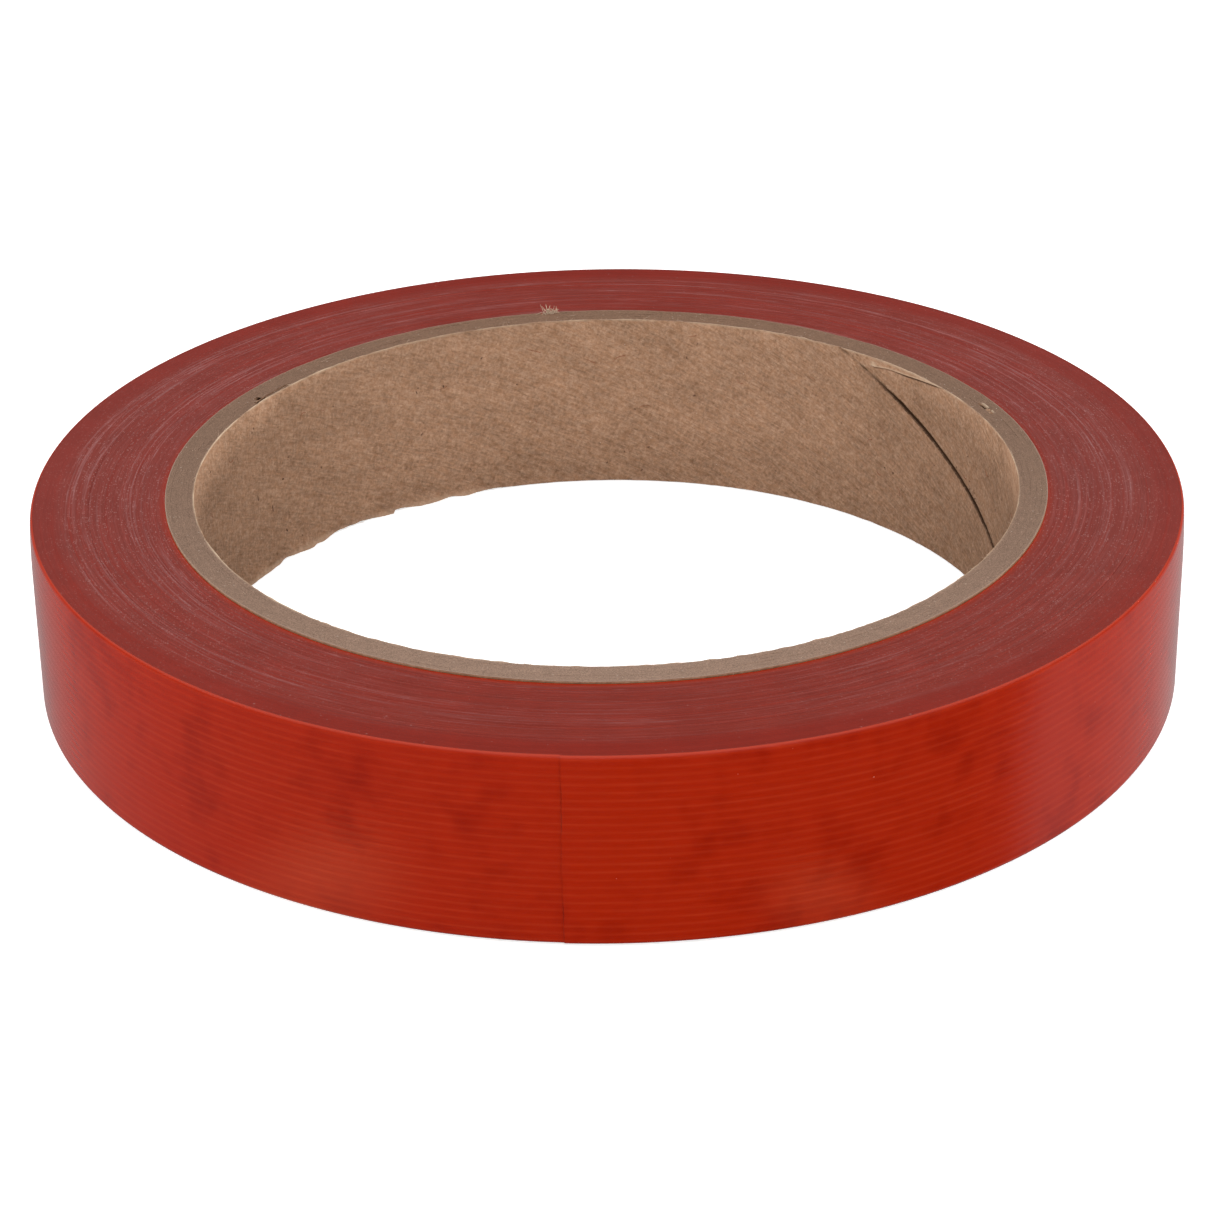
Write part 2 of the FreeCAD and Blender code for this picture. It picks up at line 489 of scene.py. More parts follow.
def board_material(name):
    """Grey-brown core board: fibres along the winding, flecks, paler torn edges; painted light and
    shade on the bore's wall, the end faces, the seams and the torn folds.
    """
    mat = Surface(name)
    x, y, z, radius = mat.cylinder()
    along, across, _ = mat.split(mat.attribute("strip"))
    tint = mat.attribute("tint", "Fac")

    def fibre(length, width, shift, rough=0.55):
        """Noise with cells of this length along the strip and width across it."""
        vector = mat.vector(along * (1.0 / length), across * (1.0 / width), shift)
        return mat.noise(vector, rough=rough)

    long_fibre = fibre(length=1.25, width=0.24, shift=1.7)
    cross_fibre = fibre(length=0.30, width=0.95, shift=9.1)
    grain = mat.noise(mat.vector(x, y, z), scale=3.4, detail=3.0, rough=0.68)
    sheet = mat.vector(along, across * 1.5, 0.0)
    mottle = mat.noise(sheet, scale=1.05, detail=4.0, rough=0.70)
    cloud = mat.noise(mat.vector(along * 0.6, across, 4.0), scale=0.30, detail=3.0)

    end_face = mat.largest(z.step(CORE_TOP - 0.055, CORE_TOP - 0.025), z.step(0.045, 0.02))
    end_face = end_face * radius.step(BORE_R - 0.01, BORE_R + 0.05)

    # the wall of the bore: brightness, then colour; painted light makes it lighter towards the top
    # and at the back
    strand = fibre(length=1.9, width=0.11, rough=0.5, shift=21.0)
    cross_strand = fibre(length=0.16, width=1.2, rough=0.5, shift=33.0)
    tone = (
        long_fibre.spread(-0.13, 0.13) + cross_fibre.spread(-0.08, 0.08)
        + cloud.spread(-0.11, 0.11)
        + grain.spread(-0.16, 0.16)
        # painted light: lighter towards the top of the wall
        + z.line(2.0, 17.5, 0.93, 1.06)
        + (strand.step(0.60, 0.72, 0.0, 0.20) - strand.step(0.40, 0.30, 0.0, 0.20))
        + (cross_strand.step(0.62, 0.74, 0.0, 0.16) - cross_strand.step(0.38, 0.28, 0.0, 0.16))
    )
    redness = (mottle * 0.7 + grain * 0.3).step(0.36, 0.66)
    wall = mat.mix(redness, (0.272, 0.148, 0.084), (0.336, 0.207, 0.134))
    # painted light: lighter at the back of the bore
    painted_light_at_back = mat.sine.step(0.60, 0.95, 1.00, 1.08)
    wall = mat.scale(wall, tone * painted_light_at_back)

    # the cut end face: greyer, with pale grains, ply joints and a pale outer rim; painted light makes
    # it lighter towards the front and darker at the left and right
    # painted light: lighter at the front, darker at the back and at the sides
    cut = mat.mix(y.line(38.0, -38.0), (0.204, 0.118, 0.076), (0.278, 0.181, 0.131))
    cut = mat.scale(cut, (mat.cosine * mat.cosine).times_plus(-0.12, 1.0))
    bite = mat.noise(mat.vector(x, y, radius), scale=7.5, detail=3.0, rough=0.75)
    patches = mat.noise(mat.vector(x, y, 0.0), scale=0.9)
    cut = mat.scale(cut, bite.spread(0.55, 1.45) + patches.spread(-0.05, 0.05))
    ply_phase = mat.math("FRACT", (radius - BORE_R) / PLY_T + 0.5)
    joint = mat.math("ABSOLUTE", ply_phase - 0.5).step(0.08, 0.02)
    joint = joint * mat.noise(mat.around(5.0, radius)).step(0.42, 0.62)
    rim = radius.step(CORE_R - 0.13, CORE_R - 0.03)
    cut = mat.layers(
        cut,
        (joint * 0.12, (0.120, 0.074, 0.052)),
        (rim * 0.38, (0.46, 0.34, 0.27)),
    )

    # painted shade: inside the butt gap the board is painted nearly black
    below_top = 1.0 - z.step(CORE_TOP - 0.30, CORE_TOP - 0.06)
    painted_gap_shade = radius.step(BORE_R + 0.05, BORE_R + 0.13) * below_top

    # painted shade: a dark ragged band along both lips of the inner ply's seam
    def lip_distance(offset):
        return mat.math("ABSOLUTE", across - z.times_plus(SEAM_DRIFT, offset))

    from_lip = mat.math(
        "MINIMUM", lip_distance(SEAM_ACROSS), lip_distance(SEAM_ACROSS - STRIP_WIDTH))
    ragged = mat.noise(mat.vector(along * 2.6, across * 0.4, 5.0), detail=3.0, rough=0.7)
    seam_lip_shade = (from_lip - ragged.line(0.38, 0.68, -0.04, 0.24)).step(0.20, 0.10)
    seam_lip_shade = seam_lip_shade * radius.step(BORE_R + 0.30, BORE_R + 0.20)
    seam_lip_shade = seam_lip_shade * z.step(CORE_TOP - 1.2, CORE_TOP - 3.0)

    # dark flecks, fewer on the end faces
    long_sheet = mat.vector(along * 0.45, across, 0.0)
    wide_sheet = mat.vector(along, across * 0.6, 0.0)
    dark = mat.largest(
        mat.specks(long_sheet, density=1.15, size=0.070, keep=0.30, shift=2.0) * 0.40,
        mat.specks(wide_sheet, density=0.50, size=0.075, keep=0.26, shift=9.0) * 0.75,
    )
    dark = dark * (1.0 - end_face * 0.7)

    # white flecks, and grit on the end faces
    flat = mat.vector(x, y, 0.0)
    grit = mat.specks(flat, density=2.4, size=0.075, keep=0.34, shift=71.0) * end_face
    long_flecks = mat.vector(along * 0.6, across, radius)
    solid = mat.vector(x, y, z)
    white = mat.largest(
        mat.specks(long_flecks, density=0.42, size=0.070, keep=0.24, shift=31.0),
        mat.specks(solid, density=1.1, size=0.055, keep=0.30, shift=57.0) * 0.9,
    )
    white = mat.largest(white, grit * 0.6)

    # the stored tint: above 0 paler, from pale torn fibres and painted highlights; below 0 darker,
    # painted shade
    pale = mat.largest(tint, 0.0)
    deep = mat.largest(tint * -1.0, 0.0)
    colour = mat.layers(
        wall,
        (end_face, cut),
        (painted_gap_shade * 0.94, (0.050, 0.023, 0.012)),
        (seam_lip_shade * 0.75, (0.085, 0.040, 0.022)),
        (dark, (0.105, 0.052, 0.030)),
        (white * 0.60, (0.60, 0.50, 0.42)),
        (mat.math("MULTIPLY", pale, 0.8, clamp=True), (0.60, 0.455, 0.325)),
        (mat.math("MINIMUM", deep, 1.0), (0.064, 0.032, 0.019)),
    )
    height = long_fibre * (1.0 - end_face) + grain * 1.1
    return mat.principled({
        "Base Color": colour,
        "Roughness": 0.90,
        "Specular IOR Level": 0.22,
        "Normal": mat.bump(height, depth=0.06, strength=0.7),
    })


def pulp_material(name, colour, tones=(0.65, 1.35), tone_scale=2.0, tone_detail=3.0,
                  roughness=0.85, specular=0.2, bump_scale=14.0):
    """Loose fibres and flecks. The defaults suit bark and dyed fibres in the pulp."""
    mat = Surface(name)
    position = mat.attribute("rest")
    tone = mat.noise(position, scale=tone_scale, detail=tone_detail).spread(*tones)
    return mat.principled({
        "Base Color": mat.scale(colour, tone),
        "Roughness": roughness,
        "Specular IOR Level": specular,
        "Normal": mat.bump(mat.noise(position, scale=bump_scale), depth=0.01),
    })


def adhesive_material(name, cad=False):
    """Thin amber adhesive over the film: shiny, rippled, paler where it has lifted."""
    mat = Surface(name)
    z = mat.cylinder(cad)[2]
    blots = mat.noise(mat.around(ROLL_R, z), scale=0.5, detail=3.0)
    ripple = mat.noise(mat.around(90.0, z * 1.6))
    lifted = blots.step(0.42, 0.62)
    colour = mat.mix(lifted, (0.40, 0.052, 0.014), (0.50, 0.095, 0.030))
    return mat.principled({
        "Base Color": mat.scale(colour, ripple.spread(0.93, 1.07)),
        "Roughness": blots.spread(0.22, 0.40),
        "IOR": 1.50,
        "Normal": mat.bump(ripple + blots, depth=0.02, strength=0.6),
    })


FILM = film_material("tape_film")
FILM_CAD = film_material("tape_film_first_turn", cad=True)
EDGE = edge_material("wound_tape")
ADHESIVE = adhesive_material("tape_adhesive")
ADHESIVE_CAD = adhesive_material("tape_adhesive_inner", cad=True)
BOARD = board_material("core_board")
FUZZ = pulp_material("core_fibres", (0.50, 0.37, 0.27), tones=(0.8, 1.15), tone_scale=3.0,
                     tone_detail=2.0, roughness=0.8, specular=0.3, bump_scale=20.0)
FLECK = pulp_material("core_bark_flecks", (0.145, 0.076, 0.048))
RED_FIBRE = pulp_material("core_red_fibres", (0.235, 0.085, 0.045))


# ---------------------------------------------------------------- core plies
# A ply is a ring cut by its helical butt gap. Each loop of points runs up the inner wall,
# out across the top face, down the outer wall and back in across the bottom face.
CORNER = 0.005                                   # margin that keeps corner points apart
FACE_POINTS = 5                                  # points across the top or bottom face
TOP_GAP = [0.06, 0.80, 0.75, 0.10, 0.35]         # share of the gap still open at the top
TOP_OFFSET = [0.004, 0.0, 0.002, -0.001, 0.0]    # height of each ply's top face

# torn fold in the bore: degrees before FOLD_END, height above FOLD_Z
FOLD_END, FOLD_Z = 45.6, 17.12
FOLD = np.array([(0, -0.06), (3.4, 0.22), (7.2, 0.28), (11.7, 0.56), (14.5, 0.83), (18.0, 1.2)])

# ragged lower inner edge: angle, and what is missing (+) or thrown inwards (-)
TORN_EDGE = np.array([
    (104, 0.0), (108, 0.10), (112, -0.15), (115, 0.02), (118, -0.22), (120.3, -0.30),
    (123.0, 0.06), (124.6, 0.10), (125.3, -0.28), (127.5, -0.20), (131.3, 0.15),
    (135.3, 0.16), (137.4, -0.10), (139.5, -0.40), (140.7, -0.28), (142.0, -0.56),
    (144.1, -0.45), (147.4, 0.02), (148.2, -0.05), (149.5, -0.30), (152.2, -0.38),
    (156.0, -0.34), (160, 0.0),
])


def sway_seam(z, side, from_seam, seed):
    """Degrees by which the inner ply's seam wanders; its two lips are nicked separately."""
    height = np.linspace(0.0, CORE_TOP, 400)

    def wander(length, noise_seed):
        return np.interp(z, height, line_noise(400, length, noise_seed))

    nicks = np.where(side > 0, wander(7.0, seed + 7) * 0.10, wander(5.0, seed + 8) * 0.11)
    return bell(from_seam, 2.5) * wander(32.0, seed + 6) * 0.14 + bell(from_seam, 0.5) * nicks


def spring_edge(deg, radius, z, tint, r_in):
    """The third ply's top edge has sprung up beside its open gap, with a painted highlight on the
    raised part and painted shade on the sunken part.
    """
    lens = band(deg, 19.2, 19.9, 22.6, 23.2)
    inner_half = 1 - ease(radius, r_in + 0.28, r_in + 0.36)
    z -= lens * inner_half * 0.55
    z += lens * (1 - inner_half) * 0.07
    # painted highlight on the raised outer half, painted shade on the sunken inner half
    tint += lens * (0.75 * (1 - inner_half) - 1.0 * inner_half)


def shape_wall(deg, radius, z, tint, wall_z, side, from_seam, seed):
    """Soft unevenness of the bore, and its deformed butt edges, with painted shade along the seam."""
    inward = (0.016 * wall_noise(deg, z, 3.2, seed + 4)
              + 0.004 * wall_noise(deg, z, 0.5, seed + 5))
    radius -= inward * ease(wall_z, 0.0, 1.0) * ease(CORE_TOP - wall_z, 0.0, 0.6)

    # below the top the lips part: one curls into the bore, the other away from it, and painted shade
    # darkens the seam
    below = CORE_TOP - z
    curl = np.where(side > 0, -1.0, 0.6)
    radius += 0.030 * bell(from_seam, 0.9) * ease(below, 2.0, 4.5) * curl
    tint -= 0.45 * bell(from_seam, 0.36) * ease(below, 1.6, 3.2)

    # near the top they meet in a shallow groove, darkened with painted shade
    meet = 1 - ease(below, 1.7, 2.6)
    groove_shade_strength = np.clip(0.9 + 0.45 * wall_noise(deg, z, 0.35, seed + 20), 0.2, 1.6)
    tint -= meet * groove_shade_strength * (0.34 * bell(from_seam, 0.75) + 0.30 * bell(from_seam, 0.35))
    radius += meet * 0.04 * bell(from_seam, 0.5)


def raise_burr(deg, radius, z, tint, rim, seed):
    """Burr thrown up along the top inner edge, paler from torn fibres and from painted highlight; rim
    is the top point of the wall.
    """
    count = len(deg)
    lip = (0.030 + 0.030 * np.clip(line_noise(count, 1.6, seed + 8), 0, 2.2)
           + 0.012 * line_noise(count, 6.0, seed + 9))
    lip = np.clip(lip, 0, 0.13)
    z[:, rim + 1] += lip
    z[:, rim] += 0.7 * lip
    radius[:, rim + 1] -= 0.015 + 0.35 * lip
    radius[:, rim] -= 0.02 + 0.5 * lip

    # pale edge: partly pale torn fibres, partly painted highlight, stronger at the left and right
    rim_deg = deg[:, rim]
    strong = 0.55 + 0.45 * band(rim_deg, 125, 160, 215, 240) + 0.25 * band(rim_deg, -1, 2, 25, 45)
    pale = np.clip(0.75 + 0.30 * line_noise(count, 3.0, seed + 17), 0.2, 1.3) * strong
    for offset, share in ((0, 1.1), (1, 1.0), (-1, 0.55), (-2, 0.20)):
        tint[:, rim + offset] += share * pale


def tear_fold(deg, radius, z, tint, seed):
    """A torn fold of the ply's edge runs up from the seam to the rim, with a painted highlight on its
    ridge and a painted shadow under it.
    """
    fold_z = FOLD_Z + np.interp(FOLD_END - deg, FOLD[:, 0], FOLD[:, 1])
    fold_z = fold_z + 0.02 * line_noise(len(deg), 4.0, seed + 15)[:, None]
    span = band(deg, 27.5, 31.0, 44.8, 46.2)
    above = z - fold_z
    flap = ease(above, -0.02, 0.10) * (1 - 0.6 * ease(above, 0.12, 0.45))
    gully = bell(above + 0.05, 0.080)
    radius -= span * (0.100 * flap - 0.065 * gully)
    # painted highlight on the ridge, painted shadow in the gully below it, and a painted highlight
    # where the fold leaves the seam
    shadow_span = span * (0.35 + 0.65 * band(deg, 30, 33, 38.5, 41.5))
    tint += span * 0.55 * bell(above - 0.13, 0.08) - 1.25 * shadow_span * gully
    tint += 0.6 * bell(deg - 45.4, 0.5) * band(z, 17.05, 17.2, 17.55, 17.7)


def open_lens(deg, radius, z, tint):
    """A lens-shaped opening, with a crack leading to it, between the first two plies, with painted
    shade inside and a painted highlight on the inner lip.
    """
    lens = band(deg, 149.2, 149.8, 151.5, 152.1)
    crack = band(deg, 143.2, 144.5, 149.0, 150.0) * 0.6
    outer_half = ease(radius, BORE_R + 0.20, BORE_R + 0.34)
    z -= outer_half * (0.60 * lens + 0.16 * crack)
    # painted shade in the opening and the crack, painted highlight on the inner lip
    tint -= outer_half * np.clip(lens * 1.2 + crack * 0.8, 0, 1)
    tint += (1 - outer_half) * 0.5 * lens


def tear_lower_edge(deg, radius, z, tint, seed):
    """Ragged lower inner edge over part of the circle."""
    count = len(deg)
    deg = deg[:, 0]
    zone = band(deg, 104, 112, 157, 160)
    rough = 0.035 * line_noise(count, 1.6, seed + 12) + 0.035 * line_noise(count, 4.0, seed + 11)
    outline = np.interp(deg, TORN_EDGE[:, 0], TORN_EDGE[:, 1]) + zone * rough
    missing = (np.clip(outline, 0, 0.3)
               + 0.012 * np.clip(line_noise(count, 2.5, seed + 13), 0, 2))
    burr = (np.clip(-outline, 0, 0.7) * 1.75 * np.abs(np.sin(np.radians(deg)))
            + 0.02 * np.clip(line_noise(count, 2.0, seed + 14), 0, 2))
    sag = np.clip(burr, 0, 0.4) * 0.15
    # share of the burr and of the missing height at each point up the wall
    shares = ((1.0, 1.0), (0.66, 1.06), (0.36, 1.12), (0.14, 1.18), (0.03, 1.24))
    for j, (burr_share, missing_share) in enumerate(shares):
        radius[:, j] -= burr * burr_share
        z[:, j] = np.maximum(z[:, j], missing * missing_share)
    z[:, 0] -= sag
    radius[:, -1] -= 0.92 * burr
    torn = np.maximum(z[:, -1], missing * 0.8)
    z[:, -1] = np.where(missing > 0.03, torn, z[:, -1]) - sag
    z[:, -2] = np.maximum(z[:, -2], missing * 0.3)
    for j, share in ((0, 0.35), (1, 0.30), (2, 0.15), (-1, 0.30)):
        tint[:, j] += share * zone


def build_ply(index, node):
    inner = index == 0
    seed = 100 + 10 * index
    count = 1081 if inner else 541
    r_in = BORE_R + index * PLY_T
    r_out = BORE_R + (index + 1) * PLY_T - 0.003
    gap_width = 0.40 if inner else 0.35
    gap_deg = math.degrees(gap_width / math.sin(SEAM_TILT) / (r_in + PLY_T / 2))

    # stations up the inner wall; the outer wall uses every skip-th of them
    if inner:
        wall_z = np.concatenate([
            [CORNER, 0.12, 0.28, 0.48, 0.8, 1.2],
            np.linspace(1.8, 15.8, 22),
            np.linspace(16.3, CORE_TOP - CORNER, 24),
        ])
        skip = 3
    else:
        middle = np.linspace(0.75, CORE_TOP - 0.75, 23)
        wall_z = np.concatenate([[CORNER], middle, [CORE_TOP - CORNER]])
        skip = 1
    rows = len(wall_z)
    picked = sorted({*range(0, rows, skip), rows - 1})
    outer_z = wall_z[picked][::-1]
    across = np.linspace(r_in + CORNER, r_out - CORNER, FACE_POINTS)
    outer_wall = np.full(len(picked), r_out)
    loop_r = np.concatenate([np.full(rows, r_in), across, outer_wall, across[::-1]])
    loop_z = np.concatenate([
        wall_z, np.full(FACE_POINTS, CORE_TOP), outer_z, np.zeros(FACE_POINTS)])
    size = len(loop_r)
    outer_start = rows + FACE_POINTS
    bottom_start = outer_start + len(picked)
    wall, top = np.s_[:, :rows], np.s_[:, rows:outer_start]
    radius = np.tile(loop_r, (count, 1))
    z = np.tile(loop_z, (count, 1))

    # the open gap between the butted edges; it closes near the top on some plies
    turn = np.linspace(0.0, 360.0, count)[:, None]        # from the seam's middle line
    side = np.where(turn < 180, 1.0, -1.0)
    from_seam = np.minimum(turn, 360.0 - turn)
    widening = ease(CORE_TOP - z, 1.9, 3.6) if inner else ease(CORE_TOP - z, 0.6, 3.0)
    open_share = TOP_GAP[index] + (1 - TOP_GAP[index]) * widening
    turn = turn + side * gap_deg / 2 * open_share * bell(from_seam, 1.2)
    if inner:
        turn = turn + sway_seam(z, side, from_seam, seed)
    angle = SEAM_TOP[index] + (z - CORE_TOP) * SEAM_TURN + turn
    deg = np.mod(angle, 360.0)

    # fine roughness of the cut top and bottom faces
    rough = (0.010 * grid_noise(FACE_POINTS, count - 1, 0.7, 1.0, seed + 1)
             + 0.008 * grid_noise(FACE_POINTS, count - 1, 1.5, 4.0, seed + 2))
    rough = TOP_OFFSET[index] + closed(rough).T
    z[top] += rough
    z[:, rows - 1] += rough[:, 0]
    z[:, outer_start] += rough[:, -1]
    rough = 0.02 * grid_noise(FACE_POINTS, count - 1, 0.8, 1.5, seed + 3)
    z[:, bottom_start:] -= np.clip(closed(rough).T, -0.04, 0.0)

    # details; the slices are views, so these functions change the arrays in place
    tint = np.zeros_like(radius)
    arrays = deg, radius, z, tint
    if index == 2:
        spring_edge(*(array[top] for array in arrays), r_in)
    if inner:
        wall_views = [array[wall] for array in arrays]
        shape_wall(*wall_views, wall_z, side, from_seam, seed)
        raise_burr(*arrays, rows - 1, seed)
        tear_fold(*wall_views, seed)
        open_lens(*(array[top] for array in arrays))
        tear_lower_edge(*arrays, seed)

    # position on the unrolled strip: along it, across it, radius
    cosine, sine = math.cos(SEAM_TILT), math.sin(SEAM_TILT)
    arc = np.radians(angle) * r_in
    strip = np.stack([arc * cosine + z * sine, -arc * sine + z * cosine, radius], -1)

    # the strip's two cut edges: panels between the inner and the outer wall
    outer = {p: bottom_start - 1 - n for n, p in enumerate(picked)}
    caps = [(*range(p, q + 1), outer[q], outer[p]) for p, q in zip(picked[:-1], picked[1:])]
    caps.append(range(rows - 1, outer_start + 1))
    caps.append((0, outer[0], *range(bottom_start, size)))
    points = polar_points(radius, angle, z)
    obj = loft(node + "_board", points, BOARD, caps=caps, flip=True, sharp_deg=30,
               strip=strip, tint=tint)
    join_roll(obj, node)


for index, node in enumerate(PLY_NODES):
    build_ply(index, node)


# ---------------------------------------------------------------- fibres and flecks of the core
def tubes(name, fibres, material, sides=5):
    """Closed tapered tubes, one for each (path, radius)."""
    points, faces = [], []
    reference = np.array([0.31, 0.17, 0.93])     # any direction the paths rarely take
    for path, radius in fibres:
        count = len(path)
        base = len(points)
        tangent = np.gradient(path, axis=0)
        tangent /= np.linalg.norm(tangent, axis=1)[:, None] + 1e-12
        for k in range(count):
            u = np.cross(tangent[k], reference)
            u /= np.linalg.norm(u) + 1e-12
            v = np.cross(tangent[k], u)
            width = radius * (1.0 - 0.65 * k / (count - 1))
            for i in range(sides):
                t = 2 * math.pi * i / sides
                points.append(path[k] + width * (math.cos(t) * u + math.sin(t) * v))
        for k in range(count - 1):
            for i in range(sides):
                a, b = base + k * sides + i, base + k * sides + (i + 1) % sides
                faces.append((a, b, b + sides, a + sides))
        faces.append(tuple(base + i for i in range(sides - 1, -1, -1)))
        faces.append(tuple(base + (count - 1) * sides + i for i in range(sides)))
    return new_object(name, points, faces, material)


def build_loose_fibres():
    rng = np.random.RandomState(77)
    draw = rng.uniform
    fibres = []

    def grow(deg, radius, z, along, radial, up, length, widths, curl=0.5, points=7):
        """Adds a curling fibre. The order of a call's arguments is the order of its draws."""
        angle = math.radians(deg)
        outward = np.array([math.cos(angle), math.sin(angle), 0])
        forward = np.array([-math.sin(angle), math.cos(angle), 0])
        point = outward * radius + np.array([0, 0, z])
        direction = forward * along + outward * radial + np.array([0, 0, up])
        direction /= np.linalg.norm(direction)
        bend = rng.normal(0, curl, 3)
        path = [point]
        for _ in range(points - 1):
            direction = direction + bend / points + rng.normal(0, 0.06, 3)
            direction /= np.linalg.norm(direction)
            point = point + direction * length / (points - 1)
            path.append(point)
        path = np.array(path)
        path[:, 2] = np.maximum(path[:, 2], 0.05)         # nothing hangs below the roll
        fibres.append((path, draw(*widths)))

    for _ in range(150):                         # along the top inner edge
        grow(deg=draw(0, 360), radius=BORE_R + draw(-0.02, 0.12),
             z=CORE_TOP + draw(-0.03, 0.05), along=rng.choice([-1, 1]) * draw(0.5, 1.0),
             radial=-draw(-0.1, 0.5), up=draw(0.0, 0.45), length=draw(0.25, 0.95),
             widths=(0.010, 0.020))
    for _ in range(70):                          # lying on the core's end face
        grow(deg=draw(0, 360), radius=draw(BORE_R + 0.2, CORE_R - 0.1), z=CORE_TOP + 0.03,
             along=rng.choice([-1, 1]), radial=draw(-0.5, 0.5), up=draw(0.0, 0.12),
             length=draw(0.2, 0.7), widths=(0.008, 0.014), curl=0.25)
    for _ in range(70):                          # tuft where the outer ply's edges meet
        grow(deg=SEAM_TOP[4] - 1.15 + rng.normal(0, 0.50), radius=CORE_R - draw(0.05, 0.5),
             z=CORE_TOP - 0.03, radial=draw(-0.5, 0.9), along=draw(-1, 1),
             up=draw(0.15, 0.8), length=draw(0.4, 1.1), widths=(0.022, 0.044), curl=1.9)
    for _ in range(60):                          # the ragged lower edge
        grow(deg=draw(106, 157), radius=BORE_R - 0.05, z=draw(0.02, 0.12),
             radial=-draw(0.4, 1.0), along=draw(-1, 1), up=draw(-0.02, 0.12),
             length=draw(0.2, 0.6), widths=(0.012, 0.024), curl=0.3)
    for _ in range(3):                           # beside the opening between the first two plies
        grow(deg=SEAM_TOP[1] + rng.normal(0, 0.6),
             radius=BORE_R + 0.4 * PLY_T + draw(-0.2, 0.25), z=CORE_TOP - 0.02,
             along=draw(-1, 1), radial=draw(-0.6, 0.6), up=draw(0.05, 0.4),
             length=draw(0.25, 0.6), widths=(0.012, 0.020), curl=0.7)
    join_roll(tubes("core_loose_fibres", fibres, FUZZ))


# placed dark flecks: angle, height, length, width, tilt in degrees
DARK_FLECKS = [
    (153.65, 8.35, 0.75, 0.16, 80), (149.9, 6.2, 0.80, 0.14, 84), (147.0, 8.6, 0.30, 0.22, 10),
    (135.4, 13.7, 0.32, 0.20, -10), (128.6, 9.3, 0.28, 0.24, 0), (154.2, 15.5, 0.26, 0.18, 0),
    (145.5, 10.6, 0.24, 0.20, 0), (33.2, 8.0, 0.95, 0.20, 60), (20.6, 9.55, 0.50, 0.14, 70),
    (22.9, 12.7, 0.20, 0.16, 0), (41.0, 6.4, 0.28, 0.22, 0), (42.7, 6.6, 0.22, 0.18, 0),
]
# placed red fibres: angle, height, length, tilt in degrees
RED_FIBRES = [
    (138.5, 14.0, 2.0, 8), (142.0, 14.4, 1.1, -30), (101.0, 15.0, 1.6, 20), (84.0, 8.5, 1.3, -15),
    (69.0, 12.0, 1.1, 40), (116.0, 12.2, 1.4, -5), (127.0, 5.2, 1.2, 15), (46.0, 9.0, 0.9, -40),
]


def wall_point(angle, z, depth):
    """A point `depth` inside the bore's wall; angle in radians."""
    return (BORE_R - depth) * math.cos(angle), (BORE_R - depth) * math.sin(angle), z


def build_dark_flecks(rng):
    """Flat oval slivers bedded in the bore."""
    flecks = list(DARK_FLECKS)
    for _ in range(110):
        flecks.append((rng.uniform(0, 360), rng.uniform(1.0, 16.5), rng.uniform(0.14, 0.50),
                       rng.uniform(0.10, 0.20), rng.uniform(-90, 90)))
    points, faces = [], []
    sides = 10
    for deg, z, length, width, tilt in flecks:
        base = len(points)
        angle, tilt = math.radians(deg), math.radians(tilt)
        for k in range(sides):
            t = 2 * math.pi * k / sides
            u, v = 0.5 * length * math.cos(t), 0.5 * width * math.sin(t)
            along = u * math.cos(tilt) - v * math.sin(tilt)
            up = u * math.sin(tilt) + v * math.cos(tilt)
            points.append(wall_point(angle + along / BORE_R, z + up, depth=0.002))
        for depth in (0.030, -0.12):             # the crown in the bore and the root in the board
            points.append(wall_point(angle, z, depth))
        for k in range(sides):
            a, b = base + k, base + (k + 1) % sides
            faces.append((b, a, base + sides))
            faces.append((a, b, base + sides + 1))
    join_roll(new_object("core_dark_flecks", points, faces, FLECK))


def build_red_fibres(rng):
    """Reddish fibres pressed into the bore's wall."""
    placed = list(RED_FIBRES)
    for _ in range(26):
        placed.append((rng.uniform(0, 360), rng.uniform(1.5, 16.5), rng.uniform(0.6, 1.8),
                       rng.uniform(-60, 60)))
    fibres = []
    for deg, z, length, tilt in placed:
        bend = rng.uniform(-0.7, 0.7)
        path = []
        for t in np.linspace(-0.5, 0.5, 9):
            heading = math.radians(tilt) + bend * t * 2
            angle = math.radians(deg) + length * t * math.cos(heading) / BORE_R
            path.append(wall_point(angle, z + length * t * math.sin(heading), depth=0.012))
        fibres.append((np.array(path), rng.uniform(0.026, 0.042)))
    join_roll(tubes("core_red_fibres", fibres, RED_FIBRE))


build_loose_fibres()
fleck_rng = np.random.RandomState(91)            # shared by both, in this order
build_dark_flecks(fleck_rng)
build_red_fibres(fleck_rng)


